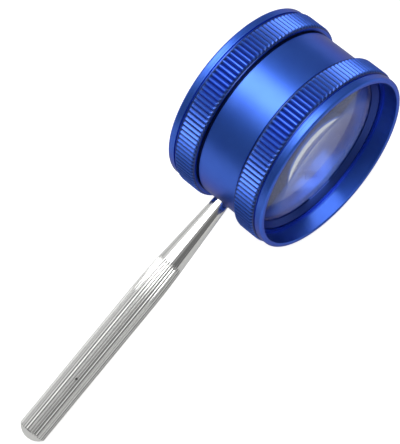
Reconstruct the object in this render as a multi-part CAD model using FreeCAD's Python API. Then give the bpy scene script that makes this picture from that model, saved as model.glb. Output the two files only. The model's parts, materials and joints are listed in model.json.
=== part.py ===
import FreeCAD, Part
import math
import os

# Handheld magnifying glass, lying on its side as it comes to rest. Sizes are in millimetres.
#
# The head is turned about its optical axis. A plain barrel carries the handle, and a knurled cell
# screws into each of its ends. Each cell holds one lens, convex on both sides, under a threaded
# retainer, and its rim stands proud as a short hood round the glass. The two cells, lenses and
# retainers are alike and face opposite ways.
#
# Everything is drawn in the head's own frame: Z runs along the optical axis, with the middle of the
# barrel at zero and the front at +Z, and the handle points to -X. The last step lays the head down,
# so that both knurled rims and the end of the grip touch the table at Z = 0.

# Lens: domed on both sides, with a narrow ground rim that seats in the cell; its outer dome stays
# below the hood's plain wall
LENS_RADIUS = 26.0
LENS_EDGE = 1.4
LENS_RIM = 1.15
LENS_OUTER_RISE = 2.75
LENS_INNER_RISE = 2.5
LENS_CLEARANCE = 0.05
SEAT_CLEARANCE = 0.35

# Screw threads, drawn as plain cylinders at their outer diameter
THREAD_CLEARANCE = 0.03
RETAINER_THREAD = 0.95
CELL_THREAD = 0.95

# Handle joint: a threaded tenon in a radial hole, with the neck on a spot face in the waist
HANDLE_OFFSET = 0.6
TENON_RADIUS = 2.0
TENON_RECESS = 0.3
NECK_RADIUS = 2.5
NECK_CLEARANCE = 0.06
SPOT_FACE_DEPTH = 0.26

# Barrel, along the optical axis from the middle outwards
LAND_WALL = 0.7
THREAD_RUNOUT = 0.3
SPIGOT_LENGTH = 3.55
WAIST_WALL = 1.26
WAIST_CHAMFER = 0.15

# Cell, along the optical axis from its neck outwards
NECK_GAP = 0.65
NECK_WALL = 0.6
SEAT_WALL = 1.7
POCKET_RELIEF = 0.15
KNURL_LENGTH = 7.8
LIP_GROOVE_WIDTH = 0.5
LIP_GROOVE_DEPTH = 0.55
LIP_LENGTH = 2.425
LIP_WALL = 1.6
LIP_FLAT = 0.25
LIP_LINE_PLACE = 0.6
LIP_LINE_DEPTH = 0.15
HOOD_STEP = 0.85
HOOD_CHAMFER = 0.2
UNDERCUT_CLEARANCE = 0.15
UNDERCUT_WIDTH = 0.83
UNDERCUT_DEPTH = 0.35
SPIGOT_CHAMFER = 0.3

# Straight knurling round each cell: V grooves between flat crests, which run out in a chamfer at
# both ends of the band and leave a narrow plain rim below them
KNURL_COUNT = 120
KNURL_PROUD = 0.55
KNURL_DEPTH = 0.65
KNURL_FLANK_DEG = 45.0
KNURL_RIM = 0.05
KNURL_BACKING = 0.35

# Retainer: a threaded ring that bevels down to the glass
RETAINER_HEIGHT = 1.87
RETAINER_GRIP = 1.1
RETAINER_INNER_WALL = 0.4
RETAINER_TOP_FLAT = 0.5
RETAINER_CHAMFER = 0.2

# Handle: a cone that eases into a straight fluted grip with a low domed end
CONE_LENGTH = 29.7
BLEND_LENGTH = 6.7
GRIP_RADIUS = 4.4
GRIP_LENGTH = 56.25
DOME_HEIGHT = 2.4
TENON_CHAMFER = 0.3
FLUTE_COUNT = 30
FLUTE_DEPTH = 0.32
FLUTE_FLANK_DEG = 45.0

# How far a cutting tool runs past the metal that it cuts, and how far joined bodies share metal
CUT_MARGIN = 1.0
BAND_OVERLAP = 0.2

# Radii worked out from the sizes above, from the lens outwards
pocket_radius = LENS_RADIUS + LENS_CLEARANCE
curve_radius_at_rim = LENS_RADIUS - LENS_RIM
throat_radius = curve_radius_at_rim + SEAT_CLEARANCE
retainer_radius = pocket_radius + RETAINER_THREAD
retainer_bore = LENS_RADIUS - RETAINER_GRIP
hood_radius = retainer_radius + HOOD_STEP
spigot_radius = pocket_radius + CELL_THREAD
neck_radius = spigot_radius + NECK_WALL
waist_radius = spigot_radius + WAIST_WALL
lip_radius = hood_radius + LIP_WALL
crest_radius = lip_radius + KNURL_PROUD
backing_radius = crest_radius - KNURL_DEPTH - KNURL_BACKING

# Places along the optical axis, measured from the middle of the barrel
land_half = HANDLE_OFFSET + TENON_RADIUS + LAND_WALL
spigot_end = land_half + THREAD_RUNOUT
barrel_half = spigot_end + SPIGOT_LENGTH
cell_face = barrel_half + NECK_GAP
lens_seat = cell_face + SEAT_WALL
lens_face = lens_seat + LENS_EDGE
retainer_top = lens_face + RETAINER_HEIGHT
undercut_start = retainer_top + UNDERCUT_CLEARANCE
undercut_end = undercut_start + UNDERCUT_WIDTH
knurl_end = cell_face + KNURL_LENGTH
lip_start = knurl_end + LIP_GROOVE_WIDTH
head_half = lip_start + LIP_LENGTH

# Distances from the optical axis along the handle
neck_seat = waist_radius - SPOT_FACE_DEPTH
cone_corner = neck_seat + CONE_LENGTH
grip_end = cone_corner + GRIP_LENGTH
dome_radius = (GRIP_RADIUS ** 2 + DOME_HEIGHT ** 2) / (2 * DOME_HEIGHT)
dome_centre = grip_end + DOME_HEIGHT - dome_radius

# The head rests on its knurled crests, and the handle droops until the end of the grip touches too
droop = math.asin(crest_radius / math.hypot(grip_end, GRIP_RADIUS)) - math.atan2(GRIP_RADIUS, grip_end)
handle_reach = dome_centre * math.cos(droop) + dome_radius

# One crest of each band faces the table
knurl_first_deg = -90.0 - math.degrees(droop)

ORIGIN = FreeCAD.Vector(0, 0, 0)
OPTICAL_AXIS = FreeCAD.Vector(0, 0, 1)
HANDLE_AXIS = FreeCAD.Vector(-1, 0, 0)


class Outline:
    """A closed outline beside a turning axis, drawn point by point as (radius, height)."""

    def __init__(self, radius, height):
        self.start = FreeCAD.Vector(radius, 0, height)
        self.here = self.start
        self.edges = []

    def line(self, radius, height):
        """Draws a straight edge to the given point."""
        there = FreeCAD.Vector(radius, 0, height)
        self.edges.append(Part.LineSegment(self.here, there).toShape())
        self.here = there
        return self

    def arc(self, mid, end):
        """Draws a round edge through mid to end, each given as (radius, height)."""
        middle = FreeCAD.Vector(mid[0], 0, mid[1])
        there = FreeCAD.Vector(end[0], 0, end[1])
        self.edges.append(Part.Arc(self.here, middle, there).toShape())
        self.here = there
        return self

    def turned(self):
        """Closes the outline and turns it once round the axis."""
        self.edges.append(Part.LineSegment(self.here, self.start).toShape())
        face = Part.Face(Part.Wire(self.edges))
        return face.revolve(ORIGIN, OPTICAL_AXIS, 360)


def round_corner_arc(before, corner, after, tangent):
    """Gives start, middle and end of the arc that rounds a corner, each as (radius, height)."""
    inward = (FreeCAD.Vector(*before, 0) - FreeCAD.Vector(*corner, 0)).normalize()
    onward = (FreeCAD.Vector(*after, 0) - FreeCAD.Vector(*corner, 0)).normalize()
    half_turn = (math.pi - inward.getAngle(onward)) / 2
    bend_radius = tangent / math.tan(half_turn)
    bisector = (inward + onward).normalize()
    apex = FreeCAD.Vector(*corner, 0)
    start = apex + inward * tangent
    middle = apex + bisector * bend_radius * (1 / math.cos(half_turn) - 1)
    end = apex + onward * tangent
    return (start.x, start.y), (middle.x, middle.y), (end.x, end.y)


def repeated(shape, axis, count, first_deg=0.0):
    """Gives copies of a shape evenly spaced round an axis, as one compound."""
    copies = []
    for index in range(count):
        copy = shape.copy()
        copy.rotate(ORIGIN, axis, first_deg + index * 360.0 / count)
        copies.append(copy)
    return Part.makeCompound(copies)


def mirrored(shape):
    """Gives the same piece facing the other way along the optical axis."""
    return shape.mirror(ORIGIN, OPTICAL_AXIS)


# Barrel: the waist tube, with a land in the middle of its bore that takes the handle's thread
def make_barrel():
    bore = spigot_radius + THREAD_CLEARANCE
    outline = Outline(throat_radius, -land_half)
    outline.line(throat_radius, land_half)
    outline.line(bore, land_half)
    outline.line(bore, barrel_half)
    outline.line(waist_radius - WAIST_CHAMFER, barrel_half)
    outline.line(waist_radius, barrel_half - WAIST_CHAMFER)
    outline.line(waist_radius, WAIST_CHAMFER - barrel_half)
    outline.line(waist_radius - WAIST_CHAMFER, -barrel_half)
    outline.line(bore, -barrel_half)
    outline.line(bore, -land_half)
    tube = outline.turned()
    hole_centre = FreeCAD.Vector(0, 0, -HANDLE_OFFSET)
    hole = Part.makeCylinder(TENON_RADIUS + THREAD_CLEARANCE, waist_radius + CUT_MARGIN, hole_centre, HANDLE_AXIS)
    seat_centre = hole_centre + HANDLE_AXIS * neck_seat
    seat_radius = NECK_RADIUS + NECK_CLEARANCE
    seat = Part.makeCylinder(seat_radius, SPOT_FACE_DEPTH + CUT_MARGIN, seat_centre, HANDLE_AXIS)
    return tube.cut(Part.makeCompound([hole, seat]))


# Knurled band: a ring with one flat side for each crest and chamfered ends, cut by the V grooves
def make_knurled_band():
    corner_radius = crest_radius / math.cos(math.pi / KNURL_COUNT)
    pitch_deg = 360.0 / KNURL_COUNT
    corners = []
    for index in range(KNURL_COUNT + 1):
        angle = math.radians(knurl_first_deg + (index + 0.5) * pitch_deg)
        corners.append(FreeCAD.Vector(corner_radius * math.cos(angle), corner_radius * math.sin(angle), cell_face))
    sides = Part.Face(Part.makePolygon(corners)).extrude(OPTICAL_AXIS * KNURL_LENGTH)
    ends = [edge for edge in sides.Edges if edge.BoundBox.ZLength < KNURL_LENGTH / 2]
    band = sides.makeChamfer(KNURL_DEPTH + KNURL_RIM, ends)
    root = crest_radius - KNURL_DEPTH
    top = crest_radius + CUT_MARGIN
    half_top = (top - root) * math.tan(math.radians(KNURL_FLANK_DEG))
    section = [(root, 0), (top, -half_top), (top, half_top), (root, 0)]
    start = cell_face - CUT_MARGIN
    face = Part.Face(Part.makePolygon([FreeCAD.Vector(x, y, start) for x, y in section]))
    groove = face.extrude(OPTICAL_AXIS * (KNURL_LENGTH + 2 * CUT_MARGIN))
    grooves = repeated(groove, OPTICAL_AXIS, KNURL_COUNT, knurl_first_deg + pitch_deg / 2)
    bore = Part.makeCylinder(backing_radius - BAND_OVERLAP, KNURL_LENGTH, OPTICAL_AXIS * cell_face)
    return band.cut(grooves).cut(bore)


# Front cell: threaded spigot, neck, knurled band, lip and hood, bored out for the lens and retainer
def make_front_cell():
    nose = LIP_WALL - LIP_FLAT - HOOD_CHAMFER
    nose_centre = (lip_radius - nose, head_half - nose)
    nose_middle = [value + nose * math.sqrt(0.5) for value in nose_centre]
    groove_radius = lip_radius - LIP_GROOVE_DEPTH
    lip_line = lip_start + LIP_LINE_PLACE
    retainer_hole = retainer_radius + THREAD_CLEARANCE
    pocket_top = lens_face - POCKET_RELIEF
    undercut_radius = hood_radius + UNDERCUT_DEPTH
    outline = Outline(throat_radius, spigot_end)
    outline.line(throat_radius, lens_seat)
    outline.line(pocket_radius, lens_seat)
    outline.line(pocket_radius, pocket_top)
    outline.line(retainer_hole, pocket_top)
    outline.line(retainer_hole, undercut_start)
    outline.line(undercut_radius, undercut_start)
    outline.line(undercut_radius, undercut_end)
    outline.line(hood_radius, undercut_end)
    outline.line(hood_radius, head_half - HOOD_CHAMFER)
    outline.line(hood_radius + HOOD_CHAMFER, head_half)
    outline.line(nose_centre[0], head_half)
    outline.arc(nose_middle, (lip_radius, nose_centre[1]))
    outline.line(lip_radius, lip_line + LIP_LINE_DEPTH)
    outline.line(lip_radius - LIP_LINE_DEPTH, lip_line)
    outline.line(lip_radius, lip_line - LIP_LINE_DEPTH)
    outline.line(lip_radius, lip_start)
    outline.line(groove_radius, lip_start)
    outline.line(groove_radius, knurl_end)
    outline.line(backing_radius, knurl_end)
    outline.line(backing_radius, cell_face)
    outline.line(neck_radius, cell_face)
    outline.line(neck_radius, barrel_half)
    outline.line(spigot_radius, barrel_half)
    outline.line(spigot_radius, spigot_end + SPIGOT_CHAMFER)
    outline.line(spigot_radius - SPIGOT_CHAMFER, spigot_end)
    return outline.turned().fuse(make_knurled_band()).removeSplitter()


def dome_point(rim_height, rise):
    """Gives a point halfway round the arc of a lens face, from its rim to its rise on the axis."""
    sphere = (curve_radius_at_rim ** 2 + rise ** 2) / (2 * abs(rise))
    half_angle = math.asin(curve_radius_at_rim / sphere) / 2
    drop = math.copysign(sphere * (1 - math.cos(half_angle)), rise)
    return sphere * math.sin(half_angle), rim_height + rise - drop


# Lens: a domed outer face, a ground rim round both faces, a short cylindrical edge and a domed
# inner face
def make_front_lens():
    outline = Outline(LENS_RADIUS, lens_face)
    outline.line(LENS_RADIUS, lens_seat)
    outline.line(curve_radius_at_rim, lens_seat)
    outline.arc(dome_point(lens_seat, -LENS_INNER_RISE), (0, lens_seat - LENS_INNER_RISE))
    outline.line(0, lens_face + LENS_OUTER_RISE)
    outline.arc(dome_point(lens_face, LENS_OUTER_RISE), (curve_radius_at_rim, lens_face))
    return outline.turned()


# Retainer: holds the glass against its seat, and bevels down from its top to the clear opening
def make_front_retainer():
    top_inner = retainer_radius - RETAINER_CHAMFER - RETAINER_TOP_FLAT
    outline = Outline(retainer_bore, lens_face)
    outline.line(retainer_radius, lens_face)
    outline.line(retainer_radius, retainer_top - RETAINER_CHAMFER)
    outline.line(retainer_radius - RETAINER_CHAMFER, retainer_top)
    outline.line(top_inner, retainer_top)
    outline.line(retainer_bore, lens_face + RETAINER_INNER_WALL)
    return outline.turned()


# Fluting: one V groove that follows the handle's outline from the cone into the grip and runs out
# through the dome, kept to one depth below the surface
def make_flute(start, middle, end):
    depth_points = [FreeCAD.Vector(radius, 0, along) for radius, along in (start, middle, end)]
    bend = Part.Arc(*depth_points).toShape()
    past_end = FreeCAD.Vector(end[0], 0, grip_end + DOME_HEIGHT + CUT_MARGIN)
    straight = Part.LineSegment(depth_points[2], past_end).toShape()
    path = Part.Wire([bend, straight])
    along = bend.tangentAt(bend.FirstParameter)
    outward = FreeCAD.Vector(along.z, 0, -along.x)
    across = FreeCAD.Vector(0, 1, 0)
    half_top = (FLUTE_DEPTH + CUT_MARGIN) * math.tan(math.radians(FLUTE_FLANK_DEG))
    root = depth_points[0] - outward * FLUTE_DEPTH
    left = depth_points[0] + outward * CUT_MARGIN - across * half_top
    right = depth_points[0] + outward * CUT_MARGIN + across * half_top
    section = Part.makePolygon([root, left, right, root])
    return path.makePipeShell([section], True, False)


# Handle: tenon, cone, grip and dome turned in one, with flutes cut along the grip
def make_handle():
    tenon_start = throat_radius + TENON_RECESS
    cone_base = (NECK_RADIUS, neck_seat)
    corner = (GRIP_RADIUS, cone_corner)
    grip_tip = (GRIP_RADIUS, grip_end)
    start, middle, end = round_corner_arc(cone_base, corner, grip_tip, BLEND_LENGTH)
    dome_half = math.asin(GRIP_RADIUS / dome_radius) / 2
    dome_middle = (dome_radius * math.sin(dome_half), dome_centre + dome_radius * math.cos(dome_half))
    outline = Outline(0, tenon_start)
    outline.line(TENON_RADIUS - TENON_CHAMFER, tenon_start)
    outline.line(TENON_RADIUS, tenon_start + TENON_CHAMFER)
    outline.line(TENON_RADIUS, neck_seat)
    outline.line(*cone_base)
    outline.line(*start)
    outline.arc(middle, end)
    outline.line(*grip_tip)
    outline.arc(dome_middle, (0, grip_end + DOME_HEIGHT))
    blank = outline.turned()
    half_pitch = 180.0 / FLUTE_COUNT
    flutes = repeated(make_flute(start, middle, end), OPTICAL_AXIS, FLUTE_COUNT, 90.0 + half_pitch)
    handle = blank.cut(flutes)
    # From its own turning axis to the head's frame: out along -X, beside the middle of the barrel
    handle.rotate(ORIGIN, FreeCAD.Vector(0, 1, 0), -90)
    handle.translate(FreeCAD.Vector(0, 0, -HANDLE_OFFSET))
    return handle


# From the head's frame to the table: front towards -Y, handle towards -X with its droop, and the
# origin under the middle of the outline
def laid_down(shape):
    placed = shape.copy()
    placed.rotate(ORIGIN, FreeCAD.Vector(1, 0, 0), 90)
    placed.rotate(ORIGIN, FreeCAD.Vector(0, 1, 0), -math.degrees(droop))
    placed.translate(FreeCAD.Vector((handle_reach - crest_radius) / 2, 0, crest_radius))
    return placed


front_cell = make_front_cell()
front_lens = make_front_lens()
front_retainer = make_front_retainer()

pieces = {
    "barrel": make_barrel(),
    "front_cell": front_cell,
    "rear_cell": mirrored(front_cell),
    "front_lens": front_lens,
    "rear_lens": mirrored(front_lens),
    "front_retainer": front_retainer,
    "rear_retainer": mirrored(front_retainer),
    "handle": make_handle(),
}

os.makedirs("parts", exist_ok=True)
for name, piece in pieces.items():
    solid = laid_down(piece)
    solid.exportStep("parts/" + name + ".step")
    print(name, len(solid.Solids), round(solid.Volume, 2), solid.isValid())
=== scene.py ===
"""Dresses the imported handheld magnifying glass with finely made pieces, finishes and a plain studio.

The head is turned about its optical axis: a plain waist tube with a knurled cell screwed into each
end, a lens and a retaining ring in each cell, and a polished, fluted handle screwed into its side.
Sizes are in millimetres and are drawn in the head's own frame, where Z runs along the optical axis
with the front at +Z, and the handle points to -X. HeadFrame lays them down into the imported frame.
"""

from __future__ import annotations

import json
import logging
import math
from dataclasses import dataclass
from enum import Enum
from typing import Sequence

import bmesh
import bpy
from mathutils import Matrix, Vector


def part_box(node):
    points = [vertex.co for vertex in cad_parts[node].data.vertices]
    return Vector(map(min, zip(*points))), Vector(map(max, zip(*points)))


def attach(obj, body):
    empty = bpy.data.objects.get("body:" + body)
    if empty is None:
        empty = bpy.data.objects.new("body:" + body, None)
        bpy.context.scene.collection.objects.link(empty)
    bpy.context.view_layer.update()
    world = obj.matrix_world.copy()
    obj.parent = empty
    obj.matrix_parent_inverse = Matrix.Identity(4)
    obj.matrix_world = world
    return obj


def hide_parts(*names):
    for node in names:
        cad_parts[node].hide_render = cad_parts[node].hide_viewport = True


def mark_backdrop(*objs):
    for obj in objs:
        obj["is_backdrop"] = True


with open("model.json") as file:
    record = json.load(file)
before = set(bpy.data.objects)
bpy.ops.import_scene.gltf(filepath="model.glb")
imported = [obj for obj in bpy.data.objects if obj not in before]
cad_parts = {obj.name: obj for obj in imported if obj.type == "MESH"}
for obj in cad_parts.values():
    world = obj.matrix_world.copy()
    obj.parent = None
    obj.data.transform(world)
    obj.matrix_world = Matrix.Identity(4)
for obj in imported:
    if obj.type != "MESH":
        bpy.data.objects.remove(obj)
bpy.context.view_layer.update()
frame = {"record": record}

log = logging.getLogger("magnifier")

MM = 0.001
AXIS = Vector((0.0, 0.0, 1.0))
CENTRE = Vector((0.0, 0.0, 0.0))
SAME_PLACE = 0.0005
SHARP_EDGE_DEG = 32.0
ROUND_PROFILE = 0.5
GROOVE_SEGMENTS = 2


class Side(Enum):
    """The end of the head that a piece belongs to, as the sign of its place on the optical axis."""

    FRONT = 1
    REAR = -1


@dataclass(frozen=True)
class HeadFrame:
    """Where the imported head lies: the middle of its barrel and the droop of its handle."""

    centre: Vector
    droop: float

    @classmethod
    def packed(cls) -> HeadFrame:
        """Reads the head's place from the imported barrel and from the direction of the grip."""
        low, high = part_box("barrel")
        grip = next(mount for mount in frame["record"]["mounts"] if mount["name"] == "grip")
        along = Vector(grip["axis"])
        return cls((low + high) / 2, math.atan2(-along.z, -along.x))

    def matrix(self) -> Matrix:
        """Gives the transform from the head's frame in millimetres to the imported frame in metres."""
        lie_down = Matrix.Rotation(math.pi / 2, 4, "X")
        droop = Matrix.Rotation(-self.droop, 4, "Y")
        return Matrix.Translation(self.centre) @ droop @ lie_down @ Matrix.Scale(MM, 4)

    def side_matrix(self, side: Side) -> Matrix:
        """Gives the same transform for a front piece, turned to face the side that it belongs to."""
        return self.matrix() @ Matrix.Diagonal((1, 1, side.value, 1))


@dataclass(frozen=True)
class Corner:
    """One corner of a turned outline: its radius, its height and how far its rounding reaches."""

    radius: float
    height: float
    softness: float = 0.0
    segments: int = 3


@dataclass(frozen=True)
class Station:
    """One ring of a grooved bar: its height, its surface, its largest radius and its share of groove."""

    height: float
    surface: float
    limit: float = math.inf
    depth_share: float = 1.0


@dataclass(frozen=True)
class GroovePattern:
    """V grooves evenly spaced round a bar, with flat lands between them."""

    count: int
    land_radius: float
    depth: float
    flank_deg: float
    land_softness: float
    root_softness: float
    first_groove_deg: float

    def section(self) -> list[tuple[float, float]]:
        """Draws one groove from the middle of one land to the middle of the next.

        Returns:
            Points across the groove, each as its turn in radians and its depth below the land.
        """
        half_pitch = self.land_radius * math.tan(math.pi / self.count)
        half_top = self.depth * math.tan(math.radians(self.flank_deg))
        sketch = bmesh.new()
        across = (-half_pitch, -half_top, 0.0, half_top, half_pitch)
        depths = (0.0, 0.0, self.depth, 0.0, 0.0)
        points = [sketch.verts.new((x, 0.0, -depth)) for x, depth in zip(across, depths)]
        for pair in zip(points, points[1:]):
            sketch.edges.new(pair)
        soften(sketch, [points[1], points[3]], self.land_softness, GROOVE_SEGMENTS)
        soften(sketch, [points[2]], self.root_softness, GROOVE_SEGMENTS)
        drawn = sorted((vert.co.x, -vert.co.z) for vert in sketch.verts)
        sketch.free()
        return [(math.atan2(x, self.land_radius), depth) for x, depth in drawn]

    def bar(self, stations: Sequence[Station]) -> bmesh.types.BMesh:
        """Sweeps one groove along the stations and repeats it round the axis.

        Args:
            stations: the rings that the bar passes through, in order.

        Returns:
            The grooved bar, open where its first and last rings don't meet.
        """
        bar = bmesh.new()
        section = self.section()
        row = [bar.verts.new((turn, depth, 0.0)) for turn, depth in section]
        edges = [bar.edges.new(pair) for pair in zip(row, row[1:])]
        rows = [row]
        for _ in stations[1:]:
            made = bmesh.ops.extrude_edge_only(bar, edges=edges)["geom"]
            edges = [item for item in made if isinstance(item, bmesh.types.BMEdge)]
            edges = [edge for edge in edges if edge.is_boundary and len(edge.link_faces) == 1
                     and all(vert in made for vert in edge.verts)]
            rows.append([vert for vert in made if isinstance(vert, bmesh.types.BMVert)])
        for station, ring in zip(stations, rows):
            for vert in ring:
                turn, depth = vert.co.x, vert.co.y
                flat = station.surface / math.cos(turn) - depth * station.depth_share
                radius = min(flat, station.limit)
                vert.co = Vector((radius * math.cos(turn), radius * math.sin(turn), station.height))
        repeat_round(bar, self.count, math.radians(self.first_groove_deg))
        return bar


def soften(sketch: bmesh.types.BMesh, corners: list[bmesh.types.BMVert], reach: float,
           segments: int) -> None:
    """Rounds corners of a drawn outline.

    Args:
        sketch: the outline's mesh.
        corners: the corners to round.
        reach: how far the rounding reaches along both sides.
        segments: how many edges it takes.
    """
    if reach > 0.0:
        bmesh.ops.bevel(sketch, geom=corners, offset=reach, affect="VERTICES", segments=segments,
                        profile=ROUND_PROFILE, material=-1)


def repeat_round(bar: bmesh.types.BMesh, count: int, first_turn: float) -> None:
    """Repeats a mesh round the axis and joins the copies.

    Args:
        bar: the mesh of one pitch.
        count: how many copies there are in all.
        first_turn: where the first copy stands, in radians.
    """
    bmesh.ops.rotate(bar, cent=CENTRE, matrix=Matrix.Rotation(first_turn, 3, "Z"), verts=bar.verts)
    everything = bar.verts[:] + bar.edges[:] + bar.faces[:]
    angle = 2 * math.pi * (count - 1) / count
    bmesh.ops.spin(bar, geom=everything, cent=CENTRE, axis=AXIS, angle=angle, steps=count - 1,
                   use_duplicate=True)
    bmesh.ops.remove_doubles(bar, verts=bar.verts, dist=SAME_PLACE)


def turned(corners: Sequence[Corner], steps: int) -> bmesh.types.BMesh:
    """Turns a closed outline once round the axis.

    Args:
        corners: the outline's corners, in order.
        steps: how many sides the turned shape has.

    Returns:
        The closed ring.
    """
    ring = bmesh.new()
    points = [ring.verts.new((corner.radius, 0.0, corner.height)) for corner in corners]
    for pair in zip(points, points[1:] + points[:1]):
        ring.edges.new(pair)
    for corner, point in zip(corners, points):
        soften(ring, [point], corner.softness, corner.segments)
    spin_round(ring, steps)
    return ring


def spin_round(outline: bmesh.types.BMesh, steps: int) -> None:
    """Spins everything drawn once round the axis, and closes the seam and the poles."""
    bmesh.ops.spin(outline, geom=outline.verts[:] + outline.edges[:], cent=CENTRE, axis=AXIS,
                   angle=2 * math.pi, steps=steps, use_merge=True)
    bmesh.ops.remove_doubles(outline, verts=outline.verts, dist=SAME_PLACE)


def joined(*parts: bmesh.types.BMesh) -> bmesh.types.BMesh:
    """Puts the meshes of one piece together and gives the first of them."""
    for other in parts[1:]:
        spare = bpy.data.meshes.new("spare")
        other.to_mesh(spare)
        parts[0].from_mesh(spare)
        bpy.data.meshes.remove(spare)
        other.free()
    return parts[0]


def as_object(name: str, shape: bmesh.types.BMesh, place: Matrix) -> bpy.types.Object:
    """Makes an object at the origin from a finished shape, with its place in its mesh.

    Args:
        name: the piece's name.
        shape: the shape in the head's frame, which is freed.
        place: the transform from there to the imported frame.

    Returns:
        The linked object, shaded smooth between its sharp edges.
    """
    bmesh.ops.recalc_face_normals(shape, faces=shape.faces)
    bmesh.ops.transform(shape, matrix=place, verts=shape.verts)
    bmesh.ops.recalc_face_normals(shape, faces=shape.faces)
    for face in shape.faces:
        face.smooth = True
    for edge in shape.edges:
        edge.smooth = edge.calc_face_angle(0.0) < math.radians(SHARP_EDGE_DEG)
    mesh = bpy.data.meshes.new(name)
    shape.to_mesh(mesh)
    shape.free()
    piece = bpy.data.objects.new(name, mesh)
    bpy.context.scene.collection.objects.link(piece)
    weighted = piece.modifiers.new("flat_faces_shade_flat", "WEIGHTED_NORMAL")
    weighted.keep_sharp = True
    return piece


def bored(piece: bpy.types.Object, cutter: bpy.types.Object) -> None:
    """Cuts one object out of another for good and removes the cutter."""
    cut = piece.modifiers.new("bore", "BOOLEAN")
    cut.operation = "DIFFERENCE"
    cut.solver = "EXACT"
    cut.object = cutter
    piece.modifiers.move(piece.modifiers.find(cut.name), 0)
    shading = piece.modifiers["flat_faces_shade_flat"]
    shading.show_viewport = False
    evaluated = piece.evaluated_get(bpy.context.evaluated_depsgraph_get())
    cut_mesh = bpy.data.meshes.new_from_object(evaluated)
    shading.show_viewport = True
    piece.modifiers.remove(cut)
    piece.data = cut_mesh
    bpy.data.objects.remove(cutter)


def linear(hex_colour: str) -> tuple[float, float, float, float]:
    """Turns an sRGB hex colour into linear values.

    Args:
        hex_colour: six hex digits, such as "2F62DE".

    Returns:
        Red, green, blue and an alpha of 1.
    """
    levels = [int(hex_colour[start:start + 2], 16) / 255 for start in (0, 2, 4)]
    red, green, blue = (v / 12.92 if v <= 0.04045 else ((v + 0.055) / 1.055) ** 2.4 for v in levels)
    return (red, green, blue, 1.0)


def add_node(tree: bpy.types.NodeTree, kind: str, inputs: dict | None = None,
             **settings: str) -> bpy.types.Node:
    """Adds a node to a tree.

    Args:
        tree: the node tree.
        kind: the node's type.
        inputs: values or links by the socket's name or number; an output socket is linked.
        settings: the node's own settings.

    Returns:
        The new node.
    """
    node = tree.nodes.new(kind)
    for name, value in settings.items():
        setattr(node, name, value)
    for key, value in (inputs or {}).items():
        if isinstance(value, bpy.types.NodeSocket):
            tree.links.new(value, node.inputs[key])
        else:
            node.inputs[key].default_value = value
    return node


def empty_material(name: str) -> bpy.types.Material:
    """Makes a material whose node tree is empty."""
    material = bpy.data.materials.new(name)
    material.use_nodes = True
    material.node_tree.nodes.clear()
    return material


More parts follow.
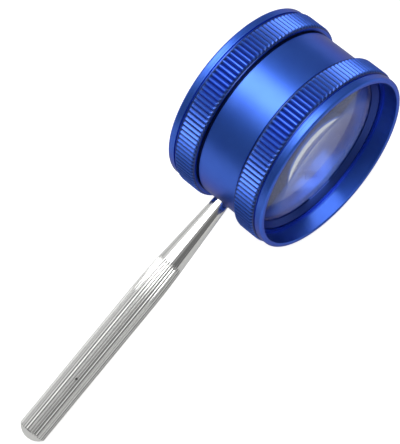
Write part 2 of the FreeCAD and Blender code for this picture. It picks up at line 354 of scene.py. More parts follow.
@dataclass(frozen=True)
class BlueAnodised:
    """Aluminium, bead blasted, dyed and anodised.

    The dye sits in a clear oxide layer over the metal: the metal's reflection comes out blue, the
    layer adds a pale sheen of its own, and near an outline the light takes a longer way through the
    dye and comes out darker. Little light reaches the roots of the knurling or the narrow gap beside
    the waist, so both get painted shade: their colour is darkened in the material.
    """

    head: HeadFrame
    name: str = "blue_anodised_aluminium"
    dye: str = "3870EE"
    slant_tint: str = "4C4858"
    metal_share: float = 0.9
    roughness: float = 0.37
    layer_weight: float = 0.42
    layer_roughness: float = 0.3
    layer_ior: float = 1.77
    blast_grain_mm: float = 0.22
    turning_pitch_mm: float = 0.3
    cloud_mm: float = 9.0
    # Where the painted shade in the roots of the knurling lies, and how dark it is.
    band_middle_mm: float = 11.7
    band_half_mm: float = 3.88
    root_radius_mm: float = 29.42
    crest_radius_mm: float = 29.9
    painted_root_shade: float = 0.3
    groove_reach_mm: float = 0.7
    # Where the painted shade in the gap beside the waist lies, and how dark it is.
    gap_middle_mm: float = 7.53
    gap_half_mm: float = 0.42
    neck_middle_mm: float = 27.9
    neck_half_mm: float = 0.55
    painted_gap_shade: float = 0.25
    roughness_change: float = 0.04
    relief_strength: float = 0.12
    relief_depth_mm: float = 0.02
    cloud_low: float = 0.3
    cloud_high: float = 0.7
    low_tone: tuple[float, float, float] = (0.9, 0.92, 0.95)
    high_tone: tuple[float, float, float] = (1.1, 1.06, 1.0)

    def make(self) -> bpy.types.Material:
        """Builds the material."""
        material = empty_material(self.name)
        tree = material.node_tree
        place = add_node(tree, "ShaderNodeTexCoord")
        centred = add_node(tree, "ShaderNodeMapping", {
            0: place.outputs["Object"], "Location": -self.head.centre})
        apart = add_node(tree, "ShaderNodeSeparateXYZ", {0: centred.outputs[0]})
        flat = add_node(tree, "ShaderNodeCombineXYZ", {"X": apart.outputs["X"], "Y": apart.outputs["Z"]})
        radius = add_node(tree, "ShaderNodeVectorMath", {0: flat.outputs[0]}, operation="LENGTH")
        profile = add_node(tree, "ShaderNodeCombineXYZ", {
            "X": radius.outputs["Value"], "Y": apart.outputs["Y"]})
        marks = add_node(tree, "ShaderNodeTexNoise", {
            "Vector": profile.outputs[0], "Scale": 1 / (self.turning_pitch_mm * MM), "Detail": 2.0},
            noise_dimensions="2D")
        grain = add_node(tree, "ShaderNodeTexNoise", {
            "Vector": centred.outputs[0], "Scale": 1 / (self.blast_grain_mm * MM), "Detail": 1.0})
        clouds = add_node(tree, "ShaderNodeTexNoise", {
            "Vector": centred.outputs[0], "Scale": 1 / (self.cloud_mm * MM), "Detail": 2.0})
        both = add_node(tree, "ShaderNodeMath", {
            0: marks.outputs["Fac"], 1: grain.outputs["Fac"]}, operation="ADD")
        relief = add_node(tree, "ShaderNodeBump", {
            "Strength": self.relief_strength, "Distance": self.relief_depth_mm * MM,
            "Height": both.outputs[0]})
        tone = add_node(tree, "ShaderNodeValToRGB", {"Fac": clouds.outputs["Fac"]})
        stops = ((self.cloud_low, self.low_tone), (self.cloud_high, self.high_tone))
        for stop, (position, shares) in zip(tone.color_ramp.elements, stops):
            stop.position = position
            stop.color = [level * share for level, share in zip(linear(self.dye), (*shares, 1.0))]
        along = add_node(tree, "ShaderNodeMath", {0: apart.outputs["Y"]}, operation="ABSOLUTE")
        from_band = add_node(tree, "ShaderNodeMath", {
            0: along.outputs[0], 1: self.band_middle_mm * MM, 2: self.band_half_mm * MM}, operation="COMPARE")
        # Painted shade: the colour darkens from the crests of the knurling down to its roots.
        depth = add_node(tree, "ShaderNodeMapRange", {
            "Value": radius.outputs["Value"], "From Min": self.root_radius_mm * MM,
            "From Max": self.crest_radius_mm * MM, "To Min": 1.0 - self.painted_root_shade, "To Max": 0.0})
        in_grooves = add_node(tree, "ShaderNodeMath", {
            0: radius.outputs["Value"], 1: self.crest_radius_mm * MM,
            2: self.groove_reach_mm * MM}, operation="COMPARE")
        in_band = add_node(tree, "ShaderNodeMath", {
            0: from_band.outputs[0], 1: in_grooves.outputs[0]}, operation="MULTIPLY")
        painted_groove_shade = add_node(tree, "ShaderNodeMath", {
            0: depth.outputs[0], 1: in_band.outputs[0]}, operation="MULTIPLY")
        # Painted shade: the colour darkens in the narrow gap between the waist and each knurled band.
        beside_waist = add_node(tree, "ShaderNodeMath", {
            0: along.outputs[0], 1: self.gap_middle_mm * MM,
            2: self.gap_half_mm * MM}, operation="COMPARE")
        on_neck = add_node(tree, "ShaderNodeMath", {
            0: radius.outputs["Value"], 1: self.neck_middle_mm * MM,
            2: self.neck_half_mm * MM}, operation="COMPARE")
        in_gap = add_node(tree, "ShaderNodeMath", {
            0: beside_waist.outputs[0], 1: on_neck.outputs[0]}, operation="MULTIPLY")
        painted_gap_shade = add_node(tree, "ShaderNodeMath", {
            0: in_gap.outputs[0], 1: 1.0 - self.painted_gap_shade}, operation="MULTIPLY")
        shade = add_node(tree, "ShaderNodeMath", {
            0: painted_groove_shade.outputs[0], 1: painted_gap_shade.outputs[0]}, operation="MAXIMUM")
        kept = add_node(tree, "ShaderNodeMath", {0: 1.0, 1: shade.outputs[0]}, operation="SUBTRACT")
        # The dye's tone, darkened by both painted shades.
        dye_under_painted_shade = add_node(tree, "ShaderNodeVectorMath", {
            0: tone.outputs["Color"], "Scale": kept.outputs[0]}, operation="SCALE")
        rough = add_node(tree, "ShaderNodeMapRange", {
            "Value": grain.outputs["Fac"], "To Min": self.roughness - self.roughness_change,
            "To Max": self.roughness + self.roughness_change})
        surface = add_node(tree, "ShaderNodeBsdfPrincipled", {
            "Base Color": dye_under_painted_shade.outputs["Vector"], "Metallic": self.metal_share, "Roughness": rough.outputs[0],
            "Specular Tint": linear(self.slant_tint), "Normal": relief.outputs[0],
            "Coat Weight": self.layer_weight, "Coat Roughness": self.layer_roughness,
            "Coat IOR": self.layer_ior})
        add_node(tree, "ShaderNodeOutputMaterial", {"Surface": surface.outputs[0]})
        return material


@dataclass(frozen=True)
class PolishedSteel:
    """Turned and polished steel, bright, with faint marks round the bar.

    It mirrors the room in soft bands along the cone and in fine light and dark lines on the flutes.
    """

    pit_place: Vector
    metal: str = "E8E8E6"
    shade: str = "DCDCDB"
    roughness: float = 0.11
    mark_pitch_mm: float = 0.25
    smear_mm: float = 6.0
    pit_radius_mm: float = 0.42
    pit_core_share: float = 0.5
    pit_darkness: float = 0.06
    roughness_below: float = 0.03
    roughness_above: float = 0.05
    relief_strength: float = 0.02
    relief_depth_mm: float = 0.01

    def make(self) -> bpy.types.Material:
        """Builds the material."""
        material = empty_material("polished_steel")
        tree = material.node_tree
        place = add_node(tree, "ShaderNodeTexCoord")
        smears = add_node(tree, "ShaderNodeTexNoise", {
            "Vector": place.outputs["Object"], "Scale": 1 / (self.smear_mm * MM), "Detail": 3.0})
        marks = add_node(tree, "ShaderNodeTexNoise", {
            "Vector": place.outputs["Object"], "Scale": 1 / (self.mark_pitch_mm * MM), "Detail": 1.0})
        pit = add_node(tree, "ShaderNodeVectorMath", {
            0: place.outputs["Object"], 1: self.pit_place}, operation="DISTANCE")
        spot = add_node(tree, "ShaderNodeMapRange", {
            "Value": pit.outputs["Value"], "From Min": self.pit_radius_mm * MM * self.pit_core_share,
            "From Max": self.pit_radius_mm * MM, "To Min": self.pit_darkness, "To Max": 1.0})
        tone = add_node(tree, "ShaderNodeMix", {0: smears.outputs["Fac"]}, data_type="RGBA")
        colours = [socket for socket in tone.inputs if socket.type == "RGBA"]
        colours[0].default_value = linear(self.metal)
        colours[1].default_value = linear(self.shade)
        mixed = next(socket for socket in tone.outputs if socket.type == "RGBA")
        pitted = add_node(tree, "ShaderNodeVectorMath", {
            0: mixed, "Scale": spot.outputs[0]}, operation="SCALE")
        rough = add_node(tree, "ShaderNodeMapRange", {
            "Value": smears.outputs["Fac"], "To Min": self.roughness - self.roughness_below,
            "To Max": self.roughness + self.roughness_above})
        relief = add_node(tree, "ShaderNodeBump", {
            "Strength": self.relief_strength, "Distance": self.relief_depth_mm * MM,
            "Height": marks.outputs["Fac"]})
        surface = add_node(tree, "ShaderNodeBsdfPrincipled", {
            "Base Color": pitted.outputs["Vector"], "Metallic": 1.0, "Roughness": rough.outputs[0],
            "Normal": relief.outputs[0]})
        add_node(tree, "ShaderNodeOutputMaterial", {"Surface": surface.outputs[0]})
        return material


@dataclass(frozen=True)
class OpticalGlass:
    """Polished glass with a thin coating.

    It is clear, with a faint purple reflection, and faint smears give its surface an uneven sheen.
    """

    tint: str = "EEF6F0"
    ior: float = 1.66
    coating_nm: float = 165.0
    coating_ior: float = 1.38
    sheen: str = "CCC6F2"
    sheen_share: float = 0.15
    sheen_change: float = 0.03
    sheen_roughness: float = 0.25
    smear_mm: float = 7.0

    def make(self) -> bpy.types.Material:
        """Builds the material."""
        material = empty_material("optical_glass")
        tree = material.node_tree
        surface = add_node(tree, "ShaderNodeBsdfPrincipled", {
            "Base Color": linear(self.tint), "Roughness": 0.0, "IOR": self.ior,
            "Transmission Weight": 1.0, "Thin Film Thickness": self.coating_nm,
            "Thin Film IOR": self.coating_ior})
        sheen = add_node(tree, "ShaderNodeBsdfAnisotropic", {
            "Color": linear(self.sheen), "Roughness": self.sheen_roughness})
        place = add_node(tree, "ShaderNodeTexCoord")
        smears = add_node(tree, "ShaderNodeTexNoise", {
            "Vector": place.outputs["Object"], "Scale": 1 / (self.smear_mm * MM), "Detail": 3.0})
        share = add_node(tree, "ShaderNodeMapRange", {
            "Value": smears.outputs["Fac"], "To Min": self.sheen_share - self.sheen_change,
            "To Max": self.sheen_share + self.sheen_change})
        coated = add_node(tree, "ShaderNodeMixShader", {
            0: share.outputs[0], 1: surface.outputs[0], 2: sheen.outputs[0]})
        add_node(tree, "ShaderNodeOutputMaterial", {"Surface": coated.outputs[0]})
        return material


def dress(piece: bpy.types.Object, material: bpy.types.Material, node: str) -> bpy.types.Object:
    """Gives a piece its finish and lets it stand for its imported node.

    Args:
        piece: the finished piece.
        material: its finish.
        node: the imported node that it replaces.

    Returns:
        The piece.
    """
    piece.data.materials.clear()
    piece.data.materials.append(material)
    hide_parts(node)
    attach(piece, "root")
    log.info("%s: %d vertices, %d faces", piece.name, len(piece.data.vertices), len(piece.data.polygons))
    return piece


@dataclass(frozen=True)
class WaistTube:
    """The plain barrel between the cells, with a land inside that takes the handle's tenon."""

    head: HeadFrame
    radius: float = 28.26
    half_length: float = 7.15
    end_chamfer: float = 0.15
    thread_bore: float = 27.03
    land_bore: float = 25.2
    land_half: float = 3.3
    handle_offset: float = 0.6
    tenon_hole: float = 2.03
    seat_hole: float = 2.56
    seat_depth: float = 0.26
    drill_start: float = 20.0
    drill_past: float = 2.0
    drill_steps: int = 64
    softness: float = 0.04
    steps: int = 240

    def build(self) -> bpy.types.Object:
        """Turns the tube and bores the handle's hole and spot face."""
        outline = [
            Corner(self.land_bore, -self.land_half),
            Corner(self.land_bore, self.land_half),
            Corner(self.thread_bore, self.land_half),
            Corner(self.thread_bore, self.half_length),
            Corner(self.radius - self.end_chamfer, self.half_length, self.softness),
            Corner(self.radius, self.half_length - self.end_chamfer, self.softness),
            Corner(self.radius, self.end_chamfer - self.half_length, self.softness),
            Corner(self.radius - self.end_chamfer, -self.half_length, self.softness),
            Corner(self.thread_bore, -self.half_length),
            Corner(self.thread_bore, -self.land_half),
        ]
        tube = as_object("waist_tube", turned(outline, self.steps), self.head.matrix())
        seat = self.radius - self.seat_depth
        past = self.radius + self.drill_past
        drill = [
            Corner(0.0, self.drill_start),
            Corner(self.tenon_hole, self.drill_start),
            Corner(self.tenon_hole, seat),
            Corner(self.seat_hole, seat),
            Corner(self.seat_hole, past),
            Corner(0.0, past),
        ]
        offset = Matrix.Translation((0, 0, -self.handle_offset))
        towards_handle = offset @ Matrix.Rotation(-math.pi / 2, 4, "Y")
        drill_shape = turned(drill, self.drill_steps)
        bored(tube, as_object("drill", drill_shape, self.head.matrix() @ towards_handle))
        return tube


@dataclass(frozen=True)
class KnurledCell:
    """The ring that holds one lens: threaded spigot, neck, knurled band, lip and hood."""

    head: HeadFrame
    side: Side
    throat: float = 25.2
    spigot_radius: float = 27.0
    spigot_end: float = 3.32
    spigot_chamfer: float = 0.3
    neck_radius: float = 27.6
    waist_end: float = 7.15
    lens_seat: float = 9.5
    lens_pocket: float = 26.05
    pocket_top: float = 10.75
    thread_bore: float = 27.03
    undercut_radius: float = 28.2
    undercut_start: float = 12.92
    undercut_end: float = 13.75
    hood_radius: float = 27.85
    hood_chamfer: float = 0.2
    lip_radius: float = 29.45
    lip_nose: float = 0.75
    nose_segments: int = 10
    lip_start: float = 16.1
    lip_groove_radius: float = 28.9
    lip_line: float = 16.7
    lip_line_depth: float = 0.03
    head_half: float = 18.525
    band_start: float = 7.8
    band_end: float = 15.6
    band_bore: float = 28.8
    band_overlap: float = 0.1
    crest_radius: float = 30.0
    groove_depth: float = 0.65
    groove_count: int = 120
    groove_flank_deg: float = 45.0
    land_softness: float = 0.03
    root_softness: float = 0.06
    band_rim: float = 0.05
    band_rim_width: float = 0.22
    end_steps: int = 6
    end_roundness: float = 0.5
    throat_softness: float = 0.1
    hood_softness: float = 0.05
    line_softness: float = 0.04
    lip_softness: float = 0.08
    steps: int = 240

    def ring(self) -> bmesh.types.BMesh:
        """Turns the cell without its knurled band."""
        outline = [
            Corner(self.throat, self.spigot_end),
            Corner(self.throat, self.lens_seat, self.throat_softness),
            Corner(self.lens_pocket, self.lens_seat),
            Corner(self.lens_pocket, self.pocket_top),
            Corner(self.thread_bore, self.pocket_top),
            Corner(self.thread_bore, self.undercut_start),
            Corner(self.undercut_radius, self.undercut_start),
            Corner(self.undercut_radius, self.undercut_end, self.hood_softness),
            Corner(self.hood_radius, self.undercut_end, self.hood_softness),
            Corner(self.hood_radius, self.head_half - self.hood_chamfer, self.hood_softness),
            Corner(self.hood_radius + self.hood_chamfer, self.head_half, self.hood_softness),
            Corner(self.lip_radius, self.head_half, self.lip_nose, self.nose_segments),
            Corner(self.lip_radius, self.lip_line + self.lip_line_depth, self.line_softness),
            Corner(self.lip_radius - self.lip_line_depth, self.lip_line),
            Corner(self.lip_radius, self.lip_line - self.lip_line_depth, self.line_softness),
            Corner(self.lip_radius, self.lip_start, self.lip_softness),
            Corner(self.lip_groove_radius, self.lip_start),
            Corner(self.lip_groove_radius, self.band_start + self.band_overlap),
            Corner(self.neck_radius, self.band_start + self.band_overlap),
            Corner(self.neck_radius, self.waist_end),
            Corner(self.spigot_radius, self.waist_end),
            Corner(self.spigot_radius, self.spigot_end + self.spigot_chamfer),
            Corner(self.spigot_radius - self.spigot_chamfer, self.spigot_end),
        ]
        return turned(outline, self.steps)

    def band(self) -> bmesh.types.BMesh:
        """Makes the knurled band: straight grooves that run out in the rounded ends of the band."""
        first_crest_deg = -90.0 - math.degrees(self.head.droop)
        pattern = GroovePattern(
            self.groove_count, self.crest_radius, self.groove_depth, self.groove_flank_deg,
            self.land_softness, self.root_softness, first_crest_deg + 180.0 / self.groove_count)
        reach = self.groove_depth + self.band_rim
        start = [(0.0, 0.0)]
        for step in range(self.end_steps + 1):
            share = step / self.end_steps
            quarter = share * math.pi / 2
            rise = share * (1 - self.end_roundness) + math.sin(quarter) * self.end_roundness
            inset = share * (1 - self.end_roundness) + (1 - math.cos(quarter)) * self.end_roundness
            start.append((rise * reach, self.band_rim_width + inset * reach))
        limits = [(self.crest_radius - reach + rise, self.band_start + inset) for rise, inset in start]
        limits += [(limit, self.band_start + self.band_end - height) for limit, height in reversed(limits)]
        stations = [Station(height, self.crest_radius, limit) for limit, height in limits]
        stations.insert(0, Station(self.band_start, self.crest_radius, self.band_bore))
        stations.append(Station(self.band_end, self.crest_radius, self.band_bore))
        stations.append(stations[0])
        return pattern.bar(stations)

    def build(self) -> bpy.types.Object:
        """Puts the ring and its band together as one piece."""
        name = self.side.name.lower() + "_knurled_cell"
        return as_object(name, joined(self.ring(), self.band()), self.head.side_matrix(self.side))


@dataclass(frozen=True)
class RetainingRing:
    """The threaded ring that holds a lens down, bevelled towards the glass."""

    head: HeadFrame
    side: Side
    radius: float = 27.0
    clear_opening: float = 24.9
    lens_face: float = 10.9
    top: float = 12.77
    inner_wall: float = 0.4
    top_flat: float = 0.5
    outer_chamfer: float = 0.2
    outer_softness: float = 0.03
    bevel_softness: float = 0.05
    steps: int = 240

    def build(self) -> bpy.types.Object:
        """Turns the ring."""
        outline = [
            Corner(self.clear_opening, self.lens_face, self.outer_softness),
            Corner(self.radius, self.lens_face),
            Corner(self.radius, self.top - self.outer_chamfer, self.outer_softness),
            Corner(self.radius - self.outer_chamfer, self.top, self.outer_softness),
            Corner(self.radius - self.outer_chamfer - self.top_flat, self.top, self.bevel_softness),
            Corner(self.clear_opening, self.lens_face + self.inner_wall, self.bevel_softness),
        ]
        name = self.side.name.lower() + "_retaining_ring"
        return as_object(name, turned(outline, self.steps), self.head.side_matrix(self.side))


@dataclass(frozen=True)
class ConvexLens:
    """A lens that is domed on both sides, with a ground rim round both domes."""

    head: HeadFrame
    side: Side
    radius: float = 26.0
    dome_rim: float = 24.85
    face: float = 10.9
    seat: float = 9.5
    outer_rise: float = 2.75
    inner_rise: float = -2.5
    edge_chamfer: float = 0.12
    dome_steps: int = 40
    steps: int = 192

    def dome(self, lens: bmesh.types.BMesh, rim: float, rise: float) -> bmesh.types.BMVert:
        """Spins one face's arc out of a point on the axis.

        Args:
            lens: the mesh to draw in.
            rim: the height of the face's rim.
            rise: how far its middle stands above the rim.

        Returns:
            The arc's end at the rim.
        """
        curve = (self.dome_rim ** 2 + rise ** 2) / (2 * rise)
        tip = lens.verts.new((0.0, 0.0, rim + rise))
        made = bmesh.ops.spin(
            lens, geom=[tip], cent=(0.0, 0.0, rim + rise - curve), axis=(0.0, 1.0, 0.0),
            angle=math.asin(self.dome_rim / curve), steps=self.dome_steps)
        return next(item for item in made["geom_last"] if isinstance(item, bmesh.types.BMVert))

    def build(self) -> bpy.types.Object:
        """Draws both domes and the edge between them, and turns the outline."""
        lens = bmesh.new()
        outer = self.dome(lens, self.face, self.outer_rise)
        inner = self.dome(lens, self.seat, self.inner_rise)
        edge = [
            (self.radius - self.edge_chamfer, self.face), (self.radius, self.face - self.edge_chamfer),
            (self.radius, self.seat),
        ]
        path = [outer] + [lens.verts.new((radius, 0.0, height)) for radius, height in edge] + [inner]
        for pair in zip(path, path[1:]):
            lens.edges.new(pair)
        spin_round(lens, self.steps)
        name = self.side.name.lower() + "_convex_lens"
        return as_object(name, lens, self.head.side_matrix(self.side))


@dataclass(frozen=True)
class FlutedHandle:
    """The handle: tenon, plain cone, fluted grip and low domed end, turned from one bar."""

    head: HeadFrame
    offset: float = 0.6
    tenon_radius: float = 2.0
    tenon_start: float = 25.5
    tenon_chamfer: float = 0.3
    neck_radius: float = 2.5
    neck_seat: float = 28.0
    cone_corner: float = 57.7
    blend: float = 6.7
    grip_radius: float = 4.4
    grip_end: float = 113.95
    dome_height: float = 2.4
    flute_count: int = 30
    flute_depth: float = 0.24
    flute_flank_deg: float = 45.0
    land_softness: float = 0.03
    root_softness: float = 0.04
    flute_run_in: float = 0.3
    blend_steps: int = 10
    dome_steps: int = 14
    pit_distance: float = 94.0
    pit_turn_deg: float = 26.0

    def place(self) -> Matrix:
        """Gives the transform from the handle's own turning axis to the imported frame."""
        to_side = Matrix.Translation((0, 0, -self.offset)) @ Matrix.Rotation(-math.pi / 2, 4, "Y")
        return self.head.matrix() @ to_side

    def blend_ring(self, share: float) -> tuple[float, float]:
        """Gives radius and height at a share of the round between the cone and the grip."""
        slope = math.atan2(self.grip_radius - self.neck_radius, self.cone_corner - self.neck_seat)
        bend_radius = self.blend / math.tan(slope / 2)
        turn = slope * (1 - share)
        height = self.cone_corner + self.blend - bend_radius * math.sin(turn)
        return self.grip_radius - bend_radius * (1 - math.cos(turn)), height

    def stations(self) -> list[Station]:
        """Lists the rings from the tenon's end to the top of the dome."""
        rings = [
            Station(self.tenon_start, 0.0, 0.0, 0.0),
            Station(self.tenon_start, self.tenon_radius - self.tenon_chamfer, depth_share=0.0),
            Station(self.tenon_start + self.tenon_chamfer, self.tenon_radius, depth_share=0.0),
            Station(self.neck_seat, self.tenon_radius, depth_share=0.0),
            Station(self.neck_seat, self.neck_radius, depth_share=0.0),
        ]
        radius, height = self.blend_ring(0.0)
        rings.append(Station(height, radius, depth_share=0.0))
        rings.append(Station(height + self.flute_run_in, radius))
        for step in range(1, self.blend_steps + 1):
            radius, height = self.blend_ring(step / self.blend_steps)
            rings.append(Station(height, radius))
        dome = (self.grip_radius ** 2 + self.dome_height ** 2) / (2 * self.dome_height)
        middle = self.grip_end + self.dome_height - dome
        spread = math.asin(self.grip_radius / dome)
        for step in range(self.dome_steps + 1):
            turn = spread * (1 - step / self.dome_steps)
            limit = dome * math.sin(turn)
            rings.append(Station(middle + dome * math.cos(turn), self.grip_radius, limit))
        return rings

    def build(self) -> bpy.types.Object:
        """Sweeps one flute along the handle and repeats it round the bar."""
        half_pitch_deg = 180.0 / self.flute_count
        pattern = GroovePattern(
            self.flute_count, self.grip_radius, self.flute_depth, self.flute_flank_deg,
            self.land_softness, self.root_softness, first_groove_deg=90.0 + half_pitch_deg)
        return as_object("fluted_handle", pattern.bar(self.stations()), self.place())

    def pit(self) -> Vector:
        """Gives the place of the small dark pit in the grip."""
        turn = math.radians(self.pit_turn_deg)
        return self.place() @ Vector((
            self.grip_radius * math.sin(turn), self.grip_radius * math.cos(turn), self.pit_distance))


@dataclass(frozen=True)
class Viewpoint:
    """The photograph's camera: where it aims, and from where it looks."""

    aim: Vector
    distance: float
    azimuth_deg: float
    elevation_deg: float
    roll_deg: float
    focal_px: float
    image_height_px: int = 444
    sensor_mm: float = 36.0

    def build(self) -> bpy.types.Object:
        """Places the camera and makes it the scene's own."""
        azimuth = math.radians(self.azimuth_deg)
        elevation = math.radians(self.elevation_deg)
        level = math.cos(elevation)
        gaze = Vector((math.sin(azimuth) * level, math.cos(azimuth) * level, -math.sin(elevation)))
        data = bpy.data.cameras.new("photo_camera")
        data.sensor_width = self.sensor_mm
        data.lens = self.focal_px * self.sensor_mm / self.image_height_px
        camera = bpy.data.objects.new("photo_camera", data)
        bpy.context.scene.collection.objects.link(camera)
        upright = gaze.to_track_quat("-Z", "Y").to_matrix().to_4x4()
        roll = Matrix.Rotation(math.radians(self.roll_deg), 4, "Z")
        camera.matrix_world = Matrix.Translation(self.aim - gaze * self.distance) @ upright @ roll
        bpy.context.scene.camera = camera
        return camera


@dataclass(frozen=True)
class Softbox:
    """A rectangular studio lamp that faces its target. Its level is its brightness, where 1 is white."""

    name: str
    direction: Vector
    distance: float
    width: float
    height: float
    level: float

    def build(self, target: Vector) -> bpy.types.Object:
        """Hangs the lamp and turns it to the target."""
        data = bpy.data.lights.new(self.name, "AREA")
        data.shape = "RECTANGLE"
        data.size = self.width
        data.size_y = self.height
        data.energy = self.level * math.pi * self.width * self.height
        lamp = bpy.data.objects.new(self.name, data)
        bpy.context.scene.collection.objects.link(lamp)
        place = target + self.direction.normalized() * self.distance
        facing = (target - place).to_track_quat("-Z", "Y").to_matrix().to_4x4()
        lamp.matrix_world = Matrix.Translation(place) @ facing
        lamp.visible_camera = False
        return lamp


@dataclass(frozen=True)
class ThrownLight:
    """Light that the lenses gather and throw onto a wall of the head, from a small lamp close to it.

    Both places are in the head's frame in millimetres.
    """

    name: str
    spot: Vector
    lamp: Vector
    size: float
    level: float

    def build(self, head: HeadFrame) -> bpy.types.Object:
        """Hangs the small lamp so that it faces its spot."""
        spot = head.matrix() @ self.spot
        lamp = head.matrix() @ self.lamp
        apart = lamp - spot
        size = self.size * MM
        return Softbox(self.name, apart, apart.length, size, size, self.level).build(spot)


@dataclass(frozen=True)
class StudioCard:
    """A curved grey card that stands round part of the set and only darkens reflections."""

    name: str
    azimuth_deg: float
    spread_deg: float
    dark_to: float
    light_from: float
    low_tone: float
    high_tone: float
    radius: float = 1.5
    height: float = 3.2
    steps: int = 24

    def build(self) -> bpy.types.Object:
        """Bends the card round the set."""
        card = bmesh.new()
        first = math.radians(self.azimuth_deg - self.spread_deg / 2)
        ends = [card.verts.new((self.radius * math.cos(first), self.radius * math.sin(first), z))
                for z in (0.0, self.height)]
        edge = card.edges.new(ends)
        bmesh.ops.spin(card, geom=ends + [edge], cent=CENTRE, axis=AXIS,
                       angle=math.radians(self.spread_deg), steps=self.steps)
        mesh = bpy.data.meshes.new(self.name)
        card.to_mesh(mesh)
        card.free()
        mesh.materials.append(self.material())
        stand = bpy.data.objects.new(self.name, mesh)
        bpy.context.scene.collection.objects.link(stand)
        stand.visible_camera = False
        stand.visible_transmission = False
        stand.visible_shadow = False
        stand.visible_diffuse = False
        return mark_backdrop(stand)

    def material(self) -> bpy.types.Material:
        """Makes the card's tone, which changes smoothly from its lower part to its upper part."""
        material = empty_material(self.name)
        tree = material.node_tree
        place = add_node(tree, "ShaderNodeTexCoord")
        apart = add_node(tree, "ShaderNodeSeparateXYZ", {0: place.outputs["Object"]})
        tone = add_node(tree, "ShaderNodeMapRange", {
            "Value": apart.outputs["Z"], "From Min": self.dark_to, "From Max": self.light_from,
            "To Min": self.low_tone, "To Max": self.high_tone}, interpolation_type="SMOOTHSTEP")
        glow = add_node(tree, "ShaderNodeEmission", {"Strength": tone.outputs[0]})
        add_node(tree, "ShaderNodeOutputMaterial", {"Surface": glow.outputs[0]})
        return material


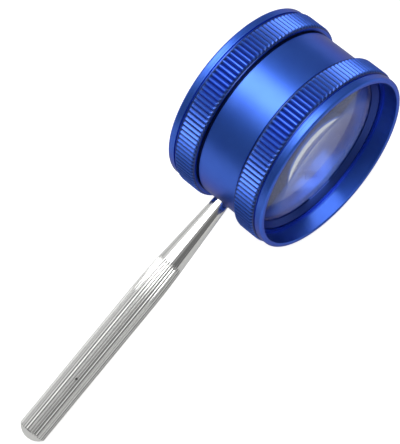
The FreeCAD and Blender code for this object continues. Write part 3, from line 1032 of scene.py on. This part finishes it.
@dataclass(frozen=True)
class Studio:
    """The plain pale floor, the soft lamps, the cards and the white surroundings."""

    target: Vector
    floor_half: float = 6.0
    floor_paper: str = "B6B6B4"
    floor_glow: float = 0.9
    room_level: float = 0.4
    gloss_share: float = 0.3
    glass_share: float = 0.95
    fibre_mm: float = 1.111
    fibre_strength: float = 0.05
    fibre_depth_mm: float = 0.05

    def seen_white(self, tree: bpy.types.NodeTree) -> bpy.types.NodeSocket:
        """Gives 1 straight from the camera, gloss_share in a gloss, glass_share through glass, else 0."""
        path = add_node(tree, "ShaderNodeLightPath")
        mirrored = add_node(tree, "ShaderNodeMath", {
            0: path.outputs["Is Glossy Ray"], 1: self.gloss_share}, operation="MULTIPLY")
        through = add_node(tree, "ShaderNodeMath", {
            0: path.outputs["Is Transmission Ray"], 1: self.glass_share}, operation="MULTIPLY")
        part = add_node(tree, "ShaderNodeMath", {
            0: mirrored.outputs[0], 1: through.outputs[0]}, operation="MAXIMUM")
        both = add_node(tree, "ShaderNodeMath", {
            0: path.outputs["Is Camera Ray"], 1: part.outputs[0]}, operation="MAXIMUM")
        return both.outputs[0]

    def world(self) -> None:
        """Makes the surroundings white where they are seen, and softer where they light the floor."""
        world = bpy.data.worlds.new("studio_surroundings")
        bpy.context.scene.world = world
        world.use_nodes = True
        tree = world.node_tree
        tree.nodes.clear()
        level = add_node(tree, "ShaderNodeMapRange", {
            "Value": self.seen_white(tree), "To Min": self.room_level, "To Max": 1.0})
        back = add_node(tree, "ShaderNodeBackground", {"Color": (1, 1, 1, 1), "Strength": level.outputs[0]})
        add_node(tree, "ShaderNodeOutputWorld", {"Surface": back.outputs[0]})

    def floor(self) -> bpy.types.Object:
        """Lays the floor, which keeps the object's shadow and looks white round it."""
        sheet = bmesh.new()
        bmesh.ops.create_grid(sheet, x_segments=1, y_segments=1, size=self.floor_half)
        mesh = bpy.data.meshes.new("floor")
        sheet.to_mesh(mesh)
        sheet.free()
        material = empty_material("white_paper")
        tree = material.node_tree
        place = add_node(tree, "ShaderNodeTexCoord")
        fibre = add_node(tree, "ShaderNodeTexNoise", {
            "Vector": place.outputs["Object"], "Scale": 1 / (self.fibre_mm * MM)})
        relief = add_node(tree, "ShaderNodeBump", {
            "Strength": self.fibre_strength, "Distance": self.fibre_depth_mm * MM,
            "Height": fibre.outputs["Fac"]})
        paper = add_node(tree, "ShaderNodeBsdfDiffuse", {
            "Color": linear(self.floor_paper), "Normal": relief.outputs[0]})
        strength = add_node(tree, "ShaderNodeMath", {
            0: self.seen_white(tree), 1: self.floor_glow}, operation="MULTIPLY")
        glow = add_node(tree, "ShaderNodeEmission", {"Strength": strength.outputs[0]})
        both = add_node(tree, "ShaderNodeAddShader", {0: paper.outputs[0], 1: glow.outputs[0]})
        add_node(tree, "ShaderNodeOutputMaterial", {"Surface": both.outputs[0]})
        mesh.materials.append(material)
        floor = bpy.data.objects.new("floor", mesh)
        bpy.context.scene.collection.objects.link(floor)
        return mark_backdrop(floor)

    def build(self) -> None:
        """Sets the whole studio up."""
        self.world()
        self.floor()
        softboxes = [
            Softbox("overhead_softbox", Vector((0.01, 0.12, 1.0)), distance=1.3, width=0.68,
                    height=1.4, level=3.2),
            Softbox("left_fill", Vector((-0.37, 0.42, 1.0)), distance=1.4, width=0.3,
                    height=0.9, level=1.0),
        ]
        for softbox in softboxes:
            softbox.build(self.target)
        cards = [
            StudioCard("front_card", azimuth_deg=-90.0, spread_deg=150.0, dark_to=1.1,
                       light_from=2.8, low_tone=0.19, high_tone=0.5),
            StudioCard("left_card", azimuth_deg=165.0, spread_deg=90.0, dark_to=0.2,
                       light_from=1.6, low_tone=0.12, high_tone=0.14),
            StudioCard("rear_card", azimuth_deg=90.0, spread_deg=60.0, dark_to=0.2,
                       light_from=1.3, low_tone=0.58, high_tone=0.88),
            StudioCard("right_card", azimuth_deg=22.5, spread_deg=75.0, dark_to=0.4,
                       light_from=1.8, low_tone=0.2, high_tone=0.28),
        ]
        for card in cards:
            card.build()


def main() -> None:
    """Builds the magnifying glass, its studio and its camera."""
    logging.basicConfig(level=logging.INFO, format="%(name)s: %(message)s")
    head = HeadFrame.packed()
    handle = FlutedHandle(head)
    anodised = BlueAnodised(head).make()
    dark = BlueAnodised(
        head, name="dark_anodised_aluminium", dye="20409A", roughness=0.42, layer_weight=0.25).make()
    steel = PolishedSteel(handle.pit()).make()
    glass = OpticalGlass().make()
    dress(WaistTube(head).build(), anodised, "barrel")
    dress(handle.build(), steel, "handle")
    for side in Side:
        end = side.name.lower()
        dress(KnurledCell(head, side).build(), anodised, end + "_cell")
        dress(RetainingRing(head, side).build(), dark, end + "_retainer")
        dress(ConvexLens(head, side).build(), glass, end + "_lens")
    Studio(head.centre).build()
    thrown = [
        ThrownLight("glow_low_in_the_barrel", spot=Vector((0.6, -25.2, -3.9)),
                    lamp=Vector((0.8, -22.3, -5.9)), size=3.0, level=1.5),
        ThrownLight("glow_beside_it", spot=Vector((-4.7, -24.8, -2.6)),
                    lamp=Vector((-3.1, -22.5, -4.7)), size=1.8, level=2.2),
        ThrownLight("glow_in_the_hood", spot=Vector((-7.7, -26.7, 15.8)),
                    lamp=Vector((-6.4, -22.2, 13.9)), size=8.0, level=1.2),
    ]
    for glow in thrown:
        glow.build(head)
    Viewpoint(
        aim=Vector((0.0060487, 0.0016873, 0.0218925)), distance=0.6950614, azimuth_deg=29.29274,
        elevation_deg=63.11647, roll_deg=-18.66995, focal_px=2402.52).build()
    bpy.context.scene.view_settings.view_transform = "Standard"


if __name__ == "__main__":
    main()
